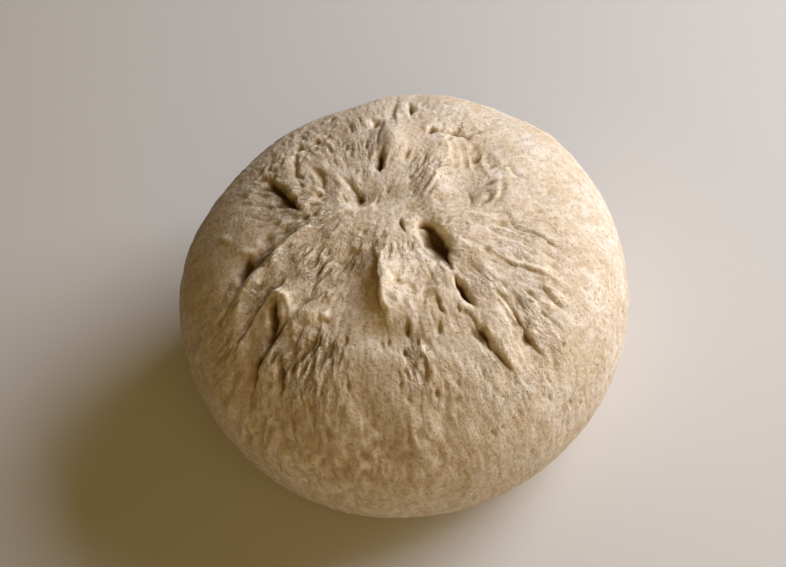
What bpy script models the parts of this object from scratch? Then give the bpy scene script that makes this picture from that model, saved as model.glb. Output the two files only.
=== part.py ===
"""Round ball of raw rye bread dough, risen, with its gathered seam side up.

The dough is one closed body on a small flat base. A smooth dome and belly, turned from one half section,
carry the relief: broad swells, then the folds that the gathering of the skin left round the crown.
Places on the skin are pairs (right, back) in millimetres along the surface from the crown, as on a flattened map.
"""

import math

import bpy
import numpy as np

MM = 0.001

# Driving sizes of the ball, in metres
HALF_WIDTH = 0.0760
CROWN_RISE = 0.0465
BELLY_DROP = 0.0440
FOOT_SHARE = 0.54
DOME_POWER = 2.3
BELLY_POWER = 2.3

# The mesh: square rings that wrap the top evenly, then plain rings down to the base
TOP_RINGS = 27
TOP_STEP = 0.0025
SIDE_RINGS = 11
SECTION_SAMPLES = 2000
CURVE_STEPS = 6
RELIEF_END = 0.128
RELIEF_FADE = 0.022

CRUMB_COLOUR = (0.72, 0.60, 0.45, 1.0)
ROUGHNESS = 0.78

# Broad swells and hollows: place, half widths across and along, turn in degrees, height, all lengths in millimetres
SWELLS = [
    {"at": (30, 66), "size": (34, 16), "turn": -12, "height": 2.2},
    {"at": (-30, 78), "size": (26, 14), "turn": 20, "height": 1.2},
    {"at": (-62, 22), "size": (20, 26), "turn": 12, "height": 1.0},
    {"at": (66, 34), "size": (13, 15), "turn": 0, "height": 1.3},
    {"at": (58, -74), "size": (26, 16), "turn": 40, "height": -1.6},
    {"at": (-24, -96), "size": (30, 12), "turn": 8, "height": 1.8},
    {"at": (-98, 40), "size": (20, 34), "turn": 22, "height": 1.2},
    {"at": (92, 62), "size": (20, 30), "turn": -34, "height": 1.0},
    {"at": (20, 112), "size": (34, 18), "turn": -10, "height": -1.2},
    {"at": (28, 8), "size": (10, 9), "turn": 10, "height": -1.6},
    {"at": (21, 14), "size": (4, 12), "turn": -24, "height": 1.0},
    {"at": (1, 9), "size": (12, 5), "turn": -24, "height": -2.0},
    {"at": (9, 31), "size": (4.5, 10), "turn": -4, "height": 2.4},
    {"at": (-6, 9), "size": (3.5, 4.5), "turn": 0, "height": -1.4},
    {"at": (-13, -20), "size": (7, 11), "turn": 0, "height": -1.8},
    {"at": (0, -27), "size": (5.5, 12), "turn": 0, "height": 1.8},
    {"at": (-7, -42), "size": (10, 5), "turn": -18, "height": -1.8},
    {"at": (-20, -66), "size": (4, 12), "turn": 0, "height": -0.9},
    {"at": (6, -74), "size": (10, 8), "turn": 0, "height": -1.0},
    {"at": (-50, -24), "size": (4, 10), "turn": -38, "height": -1.5},
    {"at": (14, -15), "size": (5.5, 7), "turn": 12, "height": -4.5},
]

# Folds: the raised lip lies on the left of the path. Depths, widths and heights are in millimetres.
FOLDS = [
    {"name": "gather mouth", "path": [(10, -7.5), (17.5, -11), (19, -19), (15, -27)],
     "deep": 4.0, "width": 3.2, "lip": 1.2, "lipWidth": 3.5, "hollow": 3.0, "reach": 6.0},
    {"name": "deep cut", "path": [(17, -30), (19, -37), (20, -45), (24, -54), (28, -64)],
     "deep": 4.2, "width": 2.8, "lip": 0.9, "lipWidth": 4.0, "hollow": 1.0, "reach": 5.0},
    {"name": "great left fold", "path": [(-38, 38), (-31, 29), (-27, 18), (-22, 8)],
     "deep": 3.0, "width": 3.0, "lip": 1.8, "lipWidth": 4.5, "hollow": 3.4, "reach": 11.0},
    {"name": "left sheet edge", "path": [(-20, 9), (-37, 0.5), (-51, -8.5), (-66, -26)],
     "deep": 1.4, "width": 3.0, "lip": 1.3, "lipWidth": 4.0, "hollow": 1.8, "reach": 8.0},
    {"name": "left hole", "path": [(-47, 5), (-48.5, -1), (-53, -7)],
     "deep": 3.2, "width": 3.0, "lip": 0.5, "lipWidth": 2.5, "hollow": 1.0, "reach": 4.0},
    {"name": "hooked flap", "path": [(-40, -15), (-42, -24), (-46.5, -33), (-57, -42)],
     "deep": 3.6, "width": 3.1, "lip": 1.9, "lipWidth": 3.2, "hollow": 1.4, "reach": 6.0},
    {"name": "outer sheet edge", "path": [(-41, -8), (-47, -15.5), (-54, -24), (-60, -31)],
     "deep": 1.3, "width": 2.8, "lip": 1.2, "lipWidth": 3.0, "hollow": 1.2, "reach": 4.0},
    {"name": "front left tear", "path": [(-36, -25), (-41, -34), (-43.5, -43), (-47, -50)],
     "deep": 1.6, "width": 2.8, "lip": 0.7, "lipWidth": 3.0, "hollow": 0.8, "reach": 4.0},
    {"name": "front left slit", "path": [(-20, -37), (-22.5, -42), (-26, -48)],
     "deep": 1.5, "width": 2.8, "lip": 0.4, "lipWidth": 2.5, "hollow": 0.5, "reach": 3.5},
    {"name": "crown ridge", "path": [(-7, -10), (-4.5, -17), (-7, -27), (-5.5, -38)],
     "deep": 1.3, "width": 2.8, "lip": 1.4, "lipWidth": 3.5, "hollow": 1.6, "reach": 6.0},
    {"name": "tongue gap", "path": [(4, 33), (3.2, 26), (3, 18)],
     "deep": 3.4, "width": 2.8, "lip": 0.8, "lipWidth": 3.0, "hollow": 0.8, "reach": 4.0},
    {"name": "back notch", "path": [(18, 60), (16, 52), (13, 43)],
     "deep": 2.0, "width": 2.8, "lip": 0.7, "lipWidth": 3.0, "hollow": 0.6, "reach": 3.0},
    {"name": "right tear", "path": [(26, 30), (33, 29), (39, 27)],
     "deep": 2.2, "width": 2.8, "lip": 0.9, "lipWidth": 4.0, "hollow": 1.0, "reach": 5.0},
    {"name": "dish rim", "path": [(39.5, 14), (40.5, 5), (35, -3.5), (26, -6)],
     "deep": 0.9, "width": 2.8, "lip": 0.9, "lipWidth": 3.0, "hollow": 0.9, "reach": 4.0},
    {"name": "upper right crease", "path": [(39, -8), (42, -14), (49, -19), (58, -27)],
     "deep": 1.2, "width": 2.8, "lip": 0.6, "lipWidth": 3.5, "hollow": 0.6, "reach": 4.0},
    {"name": "middle right crease", "path": [(27, -20), (34, -26), (43, -31), (53, -38)],
     "deep": 1.9, "width": 2.8, "lip": 0.9, "lipWidth": 3.5, "hollow": 0.8, "reach": 4.0},
    {"name": "right valley", "path": [(32, -42), (36, -48), (40, -54), (45, -64)],
     "deep": 2.0, "width": 3.4, "lip": 0.9, "lipWidth": 4.0, "hollow": 1.2, "reach": 5.0},
    {"name": "front slits", "path": [(-1, -38), (1, -46), (1, -54), (-1, -61)],
     "deep": 1.6, "width": 2.8, "lip": 0.4, "lipWidth": 3.0, "hollow": 0.5, "reach": 3.5},
    {"name": "crown slit", "path": [(9, -32), (10, -38), (8.5, -47)],
     "deep": 1.5, "width": 2.8, "lip": 0.5, "lipWidth": 2.5, "hollow": 0.5, "reach": 3.0},
    {"name": "chin tuck", "path": [(-38, -85), (-28, -90), (-16, -94), (-6, -96)],
     "deep": 1.0, "width": 3.0, "lip": 0.6, "lipWidth": 4.0, "hollow": 0.8, "reach": 6.0},
]

# The folds of the far side run outwards from the crown: their bearings in degrees and the arc lengths where they lie
BACK_BEARINGS = [44, 71, 95, 119]
BACK_START = 80
BACK_LENGTH = 30
BACK_TWIST = 5


def smooth(value):
    """A soft step: 0 below 0, 1 above 1, and 3x² − 2x³ between."""
    x = np.clip(value, 0.0, 1.0)
    return x * x * (3.0 - 2.0 * x)


def half_section():
    """The turned outline from the crown down to the base's edge: its arc length, radius and height."""
    turn = np.linspace(0.0, math.pi / 2, SECTION_SAMPLES)
    dome_radius = HALF_WIDTH * np.sin(turn) ** (2 / DOME_POWER)
    dome_height = BELLY_DROP + CROWN_RISE * np.cos(turn) ** (2 / DOME_POWER)
    belly_share = FOOT_SHARE + (1 - FOOT_SHARE) * np.cos(turn) ** (2 / BELLY_POWER)
    belly_radius = HALF_WIDTH * belly_share
    belly_height = BELLY_DROP * (1 - np.sin(turn) ** (2 / BELLY_POWER))
    radius = np.concatenate([dome_radius, belly_radius[1:]])
    height = np.concatenate([dome_height, belly_height[1:]])
    steps = np.hypot(np.diff(radius), np.diff(height))
    return np.concatenate([[0.0], np.cumsum(steps)]), radius, height


def curve_through(points):
    """A Catmull-Rom curve through the points, as short straight steps."""
    p = np.array(points, float)
    p = np.vstack([2 * p[0] - p[1], p, 2 * p[-1] - p[-2]])
    t = np.linspace(0.0, 1.0, CURVE_STEPS, endpoint=False)[:, None]
    spans = []
    for a, b, c, d in zip(p[:-3], p[1:-2], p[2:-1], p[3:]):
        spans.append(0.5 * (2 * b + (c - a) * t + (2 * a - 5 * b + 4 * c - d) * t**2 + (3 * b - a - 3 * c + d) * t**3))
    return np.vstack(spans + [p[-2][None, :]])


def nearest_on(points, u, v):
    """Distance from a curve, positive on its left, and how far along it the nearest place lies, from 0 to 1."""
    line = curve_through(points)
    legs = np.diff(line, axis=0)
    lengths = np.hypot(legs[:, 0], legs[:, 1])
    before = np.concatenate([[0.0], np.cumsum(lengths)])
    nearest = np.full(u.shape, np.inf)
    signed = np.zeros(u.shape)
    share = np.zeros(u.shape)
    for start, leg, length, gone in zip(line, legs, lengths, before):
        along = np.clip(((u - start[0]) * leg[0] + (v - start[1]) * leg[1]) / length**2, 0.0, 1.0)
        off_u = u - start[0] - along * leg[0]
        off_v = v - start[1] - along * leg[1]
        distance = np.hypot(off_u, off_v)
        closer = distance < nearest
        side = np.where(leg[0] * off_v - leg[1] * off_u >= 0, 1.0, -1.0)
        nearest = np.where(closer, distance, nearest)
        signed = np.where(closer, side * distance, signed)
        share = np.where(closer, (gone + along * length) / before[-1], share)
    return signed, share


def swell_height(swell, u, v):
    """A soft oval hill or hollow: its height times exp(−(x/a)² − (y/b)²) in its own turned directions."""
    turn = math.radians(swell["turn"])
    x = (u - swell["at"][0]) * math.cos(turn) + (v - swell["at"][1]) * math.sin(turn)
    y = (v - swell["at"][1]) * math.cos(turn) - (u - swell["at"][0]) * math.sin(turn)
    return swell["height"] * np.exp(-((x / swell["size"][0]) ** 2) - (y / swell["size"][1]) ** 2)


def fold_height(fold, u, v):
    """Across a fold: a groove on the path, a lip raised on its left, a broad hollow that ends there on its right."""
    t, share = nearest_on(fold["path"], u, v)
    fade = smooth(share / 0.22) * smooth((1 - share) / 0.22)
    groove = -fold["deep"] * np.exp(-((t / fold["width"]) ** 2))
    lip = fold["lip"] * np.exp(-((t / fold["lipWidth"] - 1) ** 2)) * smooth(0.5 + 0.5 * t / fold["width"])
    hollow = -fold["hollow"] * np.exp(-((t / fold["reach"]) ** 2)) * smooth(0.5 - 0.5 * t / fold["width"])
    return fade * (groove + lip + hollow)


def back_folds():
    """Shallow folds down the far side, each turning a little as it runs outwards."""
    folds = []
    for number, bearing in enumerate(BACK_BEARINGS):
        reach = BACK_LENGTH * (1.0 + 0.25 * math.sin(2.3 * number))
        path = []
        for share in (0.0, 0.5, 1.0):
            turn = math.radians(bearing + BACK_TWIST * share)
            arc = BACK_START + reach * share
            path.append((arc * math.cos(turn), arc * math.sin(turn)))
        depth = 0.8 + 0.3 * math.cos(1.7 * number)
        folds.append({"name": "back fold", "path": path, "deep": depth, "width": 3.4,
                      "lip": 0.5, "lipWidth": 4.5, "hollow": 0.4 * depth, "reach": 6.0})
    return folds


def relief(u, v):
    """The height of the skin over the plain turned ball, in millimetres."""
    height = sum(swell_height(swell, u, v) for swell in SWELLS)
    return height + sum(fold_height(fold, u, v) for fold in FOLDS + back_folds())


def skin_places():
    """Arc length and bearing of every vertex: the square lattice over the top, then the rings round the side."""
    line = np.arange(-TOP_RINGS, TOP_RINGS + 1, dtype=float)
    across, along = np.meshgrid(line, line, indexing="ij")
    ring = np.maximum(np.abs(across), np.abs(along))
    wide = np.abs(across) >= np.abs(along)
    low = np.where(wide, along, across) / np.maximum(ring, 1.0)
    low = low * np.sign(np.where(wide, across, along))
    start = np.where(wide, np.where(across >= 0, 0.0, math.pi), np.where(along >= 0, math.pi / 2, -math.pi / 2))
    bearing = start + np.where(wide, 1.0, -1.0) * low * math.pi / 4
    return ring * TOP_STEP, bearing


def rim_order():
    """The lattice's edge, once round: row-by-row index of each of its vertices."""
    side = 2 * TOP_RINGS
    index = np.arange((side + 1) ** 2).reshape(side + 1, side + 1)
    return np.concatenate([index[:-1, 0], index[-1, :-1], index[:0:-1, -1], index[0, :0:-1]])


def dough_mesh():
    """The skin's points and faces: lattice, side rings and one flat base."""
    arc, radius, height = half_section()
    top_arc, top_bearing = skin_places()
    rim = rim_order()
    rim_bearing = top_bearing.ravel()[rim]
    side_arcs = np.linspace(TOP_RINGS * TOP_STEP, arc[-1], SIDE_RINGS + 1)[1:]
    s = np.concatenate([top_arc.ravel(), np.repeat(side_arcs, len(rim))])
    phi = np.concatenate([top_bearing.ravel(), np.tile(rim_bearing, SIDE_RINGS)])

    slope = 0.0002
    lean_out = np.interp(s + slope, arc, radius) - np.interp(s - slope, arc, radius)
    lean_down = np.interp(s + slope, arc, height) - np.interp(s - slope, arc, height)
    length = np.maximum(np.hypot(lean_out, lean_down), 1e-9)
    fade = smooth((RELIEF_END - s) / RELIEF_FADE)
    lift = relief(s / MM * np.cos(phi), s / MM * np.sin(phi)) * MM * fade
    out = np.interp(s, arc, radius) - lift * lean_down / length
    up = np.interp(s, arc, height) + lift * lean_out / length
    points = np.stack([out * np.cos(phi), out * np.sin(phi), up], axis=1)

    side = 2 * TOP_RINGS + 1
    index = np.arange(side * side).reshape(side, side)
    faces = np.stack([index[:-1, :-1], index[1:, :-1], index[1:, 1:], index[:-1, 1:]], axis=-1).reshape(-1, 4)
    rings = np.vstack([rim] + [side * side + k * len(rim) + np.arange(len(rim)) for k in range(SIDE_RINGS)])
    upper, lower = rings[:-1], rings[1:]
    belt = np.stack([upper, lower, np.roll(lower, -1, axis=1), np.roll(upper, -1, axis=1)], axis=-1).reshape(-1, 4)
    base = list(rings[-1][::-1])
    return points, faces.tolist() + belt.tolist() + [[int(i) for i in base]]


def dough_material():
    """Pale, dull, floury dough."""
    material = bpy.data.materials.new("raw_dough")
    material.use_nodes = True
    shader = material.node_tree.nodes["Principled BSDF"]
    shader.inputs["Base Color"].default_value = CRUMB_COLOUR
    shader.inputs["Roughness"].default_value = ROUGHNESS
    shader.inputs["Metallic"].default_value = 0.0
    return material


def build():
    """Makes the ball of dough on its flat base, with the base's middle at the origin."""
    for old in list(bpy.data.objects):
        bpy.data.objects.remove(old)
    points, faces = dough_mesh()
    mesh = bpy.data.meshes.new("dough")
    mesh.from_pydata(points.tolist(), [], faces)
    mesh.shade_smooth()
    mesh.materials.append(dough_material())
    dough = bpy.data.objects.new("dough", mesh)
    bpy.context.scene.collection.objects.link(dough)


build()
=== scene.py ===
import math

import bpy
import numpy as np
from mathutils import Matrix, Vector


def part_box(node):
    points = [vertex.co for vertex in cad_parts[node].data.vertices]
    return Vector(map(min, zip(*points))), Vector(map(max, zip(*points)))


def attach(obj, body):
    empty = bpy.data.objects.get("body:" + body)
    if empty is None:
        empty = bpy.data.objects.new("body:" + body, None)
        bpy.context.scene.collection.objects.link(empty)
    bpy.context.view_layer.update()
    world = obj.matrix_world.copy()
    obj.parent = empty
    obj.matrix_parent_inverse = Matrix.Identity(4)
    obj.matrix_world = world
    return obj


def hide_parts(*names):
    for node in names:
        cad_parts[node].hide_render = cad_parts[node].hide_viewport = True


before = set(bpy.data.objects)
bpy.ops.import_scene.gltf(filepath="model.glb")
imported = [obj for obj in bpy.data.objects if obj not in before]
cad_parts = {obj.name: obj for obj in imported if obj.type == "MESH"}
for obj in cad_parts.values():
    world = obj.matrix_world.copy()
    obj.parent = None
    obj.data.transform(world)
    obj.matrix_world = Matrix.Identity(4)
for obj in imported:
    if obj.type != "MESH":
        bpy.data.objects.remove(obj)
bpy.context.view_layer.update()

# A risen ball of raw rye dough, seam side up. Its skin is one fine mesh that takes the place of the CAD
# solid. Places on the skin are (right, back) in millimetres along the surface from the crown, as on a
# flattened map.

mm = 0.001


# Small helpers

def softStep(value):
    # 3x² − 2x³ between 0 and 1, level outside
    x = np.clip(value, 0.0, 1.0)
    return x * x * (3.0 - 2.0 * x)


def cornerValue(cell, seed):
    # one repeatable value from −1 to 1 for each whole-number cell, from a mixed-up product of its
    # coordinates
    n = np.full(cell[0].shape, seed * 974634777 + 12345, np.int64)
    for axis, factor in zip(cell, (374761393, 668265263, 2147483647)):
        n = n + axis.astype(np.int64) * factor
    n = n & 0xFFFFFFFF
    n = ((n ^ (n >> 13)) * 1274126177) & 0xFFFFFFFF
    n = ((n ^ (n >> 15)) * 668265263) & 0xFFFFFFFF
    return ((n ^ (n >> 16)) & 0xFFFF) / 32767.5 - 1.0


def noise(coords, seed, wrap=None):
    # value noise: the values at the cell's corners, blended along each axis by 6t⁵ − 15t⁴ + 10t³
    cells = [np.floor(c) for c in coords]
    parts = [c - f for c, f in zip(coords, cells)]
    blends = [t * t * t * (t * (6 * t - 15) + 10) for t in parts]
    total = np.zeros(coords[0].shape)
    for corner in range(2 ** len(coords)):
        steps = [(corner >> k) & 1 for k in range(len(coords))]
        cell = [c + s for c, s in zip(cells, steps)]
        if wrap is not None:
            cell[0] = np.mod(cell[0], wrap)
        weight = np.ones(coords[0].shape)
        for b, s in zip(blends, steps):
            weight = weight * (b if s else 1.0 - b)
        total = total + weight * cornerValue(cell, seed)
    return total


def layeredNoise(coords, size, layers, seed):
    # noise at size, size/2, size/4 … with halving strength, scaled back to about −1 to 1
    total = 0.0
    strength = 1.0
    whole = 0.0
    for layer in range(layers):
        scale = 2.0**layer / size
        total = total + strength * noise([c * scale + 17.3 * layer for c in coords], seed + layer)
        whole += strength
        strength *= 0.5
    return total / whole


def curveThrough(points, steps=5):
    # a Catmull-Rom curve through the points, as short straight legs
    p = np.array(points, float)
    p = np.vstack([2 * p[0] - p[1], p, 2 * p[-1] - p[-2]])
    t = np.linspace(0.0, 1.0, steps, endpoint=False)[:, None]
    spans = []
    for a, b, c, d in zip(p[:-3], p[1:-2], p[2:-1], p[3:]):
        bend, twist = 2 * a - 5 * b + 4 * c - d, 3 * b - a - 3 * c + d
        spans.append(0.5 * (2 * b + (c - a) * t + bend * t**2 + twist * t**3))
    return np.vstack(spans + [p[-2][None, :]])


def nearestOn(points, u, v):
    # signed distance from the curve (left of it is positive), share of its length, and the way out to the
    # left
    line = curveThrough(points)
    legs = np.diff(line, axis=0)
    lengths = np.hypot(legs[:, 0], legs[:, 1])
    gone = np.concatenate([[0.0], np.cumsum(lengths)])
    nearest = np.full(u.shape, np.inf)
    signed = np.zeros(u.shape)
    share = np.zeros(u.shape)
    leftU = np.zeros(u.shape)
    leftV = np.zeros(u.shape)
    for start, leg, length, before in zip(line, legs, lengths, gone):
        along = np.clip(((u - start[0]) * leg[0] + (v - start[1]) * leg[1]) / length**2, 0.0, 1.0)
        offU = u - start[0] - along * leg[0]
        offV = v - start[1] - along * leg[1]
        distance = np.hypot(offU, offV)
        closer = distance < nearest
        side = np.where(leg[0] * offV - leg[1] * offU >= 0, 1.0, -1.0)
        nearest = np.where(closer, distance, nearest)
        signed = np.where(closer, side * distance, signed)
        share = np.where(closer, (before + along * length) / gone[-1], share)
        leftU = np.where(closer, -leg[1] / length, leftU)
        leftV = np.where(closer, leg[0] / length, leftV)
    return signed, share, leftU, leftV


# The ball itself, turned from one half section

ballForm = {
    "halfWidth": 76.0,      # mm
    "crownRise": 46.5,
    "bellyDrop": 44.0,
    "footShare": 0.54,
    "domePower": 2.3,
    "bellyPower": 2.3,
    "sectionSteps": 3000,
    "skinStep": 0.56,       # spacing of the rings near the crown
    "skinGrowth": 1.05,     # and how much wider it is at the last square ring
    "skinEven": 0.35,       # share of the square rings with the narrow spacing
    "topRings": 130,        # square rings that wrap the top
    "frontRings": 12,       # plain rings down the flank, then round the belly
    "bellyRings": 10,
    "flankEnd": 112.0,      # arc length where the flank's rings end
    "reliefEnd": 136.0,     # the relief fades out before the base, over this length
    "reliefFade": 26.0,
}


def halfSection():
    # dome: r = R sin(a)^(2/p), z = drop + rise cos(a)^(2/p); belly: r = R (foot + (1 − foot) cos(a)^(2/q)),
    # z = drop (1 − sin(a)^(2/q)), each for a from 0 to 90°; returned against arc length from the crown
    f = ballForm
    a = np.linspace(0.0, math.pi / 2, f["sectionSteps"])
    domeR = f["halfWidth"] * np.sin(a) ** (2 / f["domePower"])
    domeZ = f["bellyDrop"] + f["crownRise"] * np.cos(a) ** (2 / f["domePower"])
    bellyR = f["halfWidth"] * (f["footShare"] + (1 - f["footShare"]) * np.cos(a) ** (2 / f["bellyPower"]))
    bellyZ = f["bellyDrop"] * (1 - np.sin(a) ** (2 / f["bellyPower"]))
    radius = np.concatenate([domeR, bellyR[1:]])
    height = np.concatenate([domeZ, bellyZ[1:]])
    arc = np.concatenate([[0.0], np.cumsum(np.hypot(np.diff(radius), np.diff(height)))])
    return arc, radius, height


def skinGrid():
    # a square lattice wrapped on the top: lattice ring k is a circle of 8k points, then rings of
    # 8·topRings points
    f = ballForm
    n = f["topRings"]
    line = np.arange(-n, n + 1, dtype=float)
    across, along = np.meshgrid(line, line, indexing="ij")
    ring = np.maximum(np.abs(across), np.abs(along))
    wide = np.abs(across) >= np.abs(along)
    low = np.where(wide, along, across) / np.maximum(ring, 1.0) * np.sign(np.where(wide, across, along))
    acrossStart = np.where(across >= 0, 0.0, math.pi)
    alongStart = np.where(along >= 0, math.pi / 2, -math.pi / 2)
    start = np.where(wide, acrossStart, alongStart)
    bearing = start + np.where(wide, 1.0, -1.0) * low * math.pi / 4
    even = f["skinEven"]
    spacing = 1.0 + f["skinGrowth"] * softStep((np.arange(1, n + 1) / n - even) / (1 - even))
    ringArc = np.concatenate([[0.0], np.cumsum(spacing)])
    arcs = ringArc[ring.astype(int)] * f["skinStep"]
    side = 2 * n
    index = np.arange((side + 1) ** 2).reshape(side + 1, side + 1)
    rim = np.concatenate([index[:-1, 0], index[-1, :-1], index[:0:-1, -1], index[0, :0:-1]])
    return arcs.ravel(), bearing.ravel(), index, rim


# Broad hills and hollows of the ball: right, back, half widths across and along, turn in degrees, height;
# in mm
swells = [
    (30, 66, 34, 16, -12, 2.2),
    (-30, 78, 26, 14, 20, 1.2),
    (-62, 22, 20, 26, 12, 1.0),
    (66, 34, 13, 15, 0, 1.3),
    (58, -74, 26, 16, 40, -1.6),
    (-24, -96, 30, 12, 8, 1.8),
    (-98, 40, 20, 34, 22, 1.2),
    (92, 62, 20, 30, -34, 1.0),
    (20, 112, 34, 18, -10, -1.2),
    (30.5, 3, 8, 9, 10, -2.7),          # ribbed dish
    (21, 14, 4, 12, -24, 1.9),
    (34, 20, 7, 8, 0, -2.0),
    (1, 9, 12, 5, -24, -2.2),           # valley through the gather
    (10.2, 33, 4.8, 9, -4, 2.5),        # tongue
    (-6, 9, 3.2, 4.2, 0, -1.6),
    (-14, -20, 6.5, 11, 0, -1.0),
    (-3.2, -27, 6.5, 13, 0, 2.4),
    (-7, -42, 9, 4.5, -18, -1.9),
    (-20, -66, 4, 12, 0, -1.0),
    (6, -74, 10, 8, 0, -1.0),
    (-50, -24, 3.5, 10, -38, -1.5),
    (12.5, -15, 5.5, 8.5, 12, -1.8),    # mouth of the gather
    (14.8, -13.2, 3.2, 6.2, 14, -4.6),
    (8.2, -5.5, 1.8, 3.4, 0, 0.3),
    (25, -6, 8, 4, 0, 0.8),
    (25, -48, 3.5, 12, 22, 0.8),
    (-32, -28.5, 7, 4.5, 0, 1.2),
    (22.5, -26, 3.4, 5, 10, -1.1),
]


def swellHeight(swell, u, v):
    # height · exp(−(x/across)² − (y/along)²) in the swell's own turned directions
    right, back, across, along, degrees, height = swell
    turn = math.radians(degrees)
    x = (u - right) * math.cos(turn) + (v - back) * math.sin(turn)
    y = (v - back) * math.cos(turn) - (u - right) * math.sin(turn)
    return height * np.exp(-((x / across) ** 2) - (y / along) ** 2)


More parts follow.
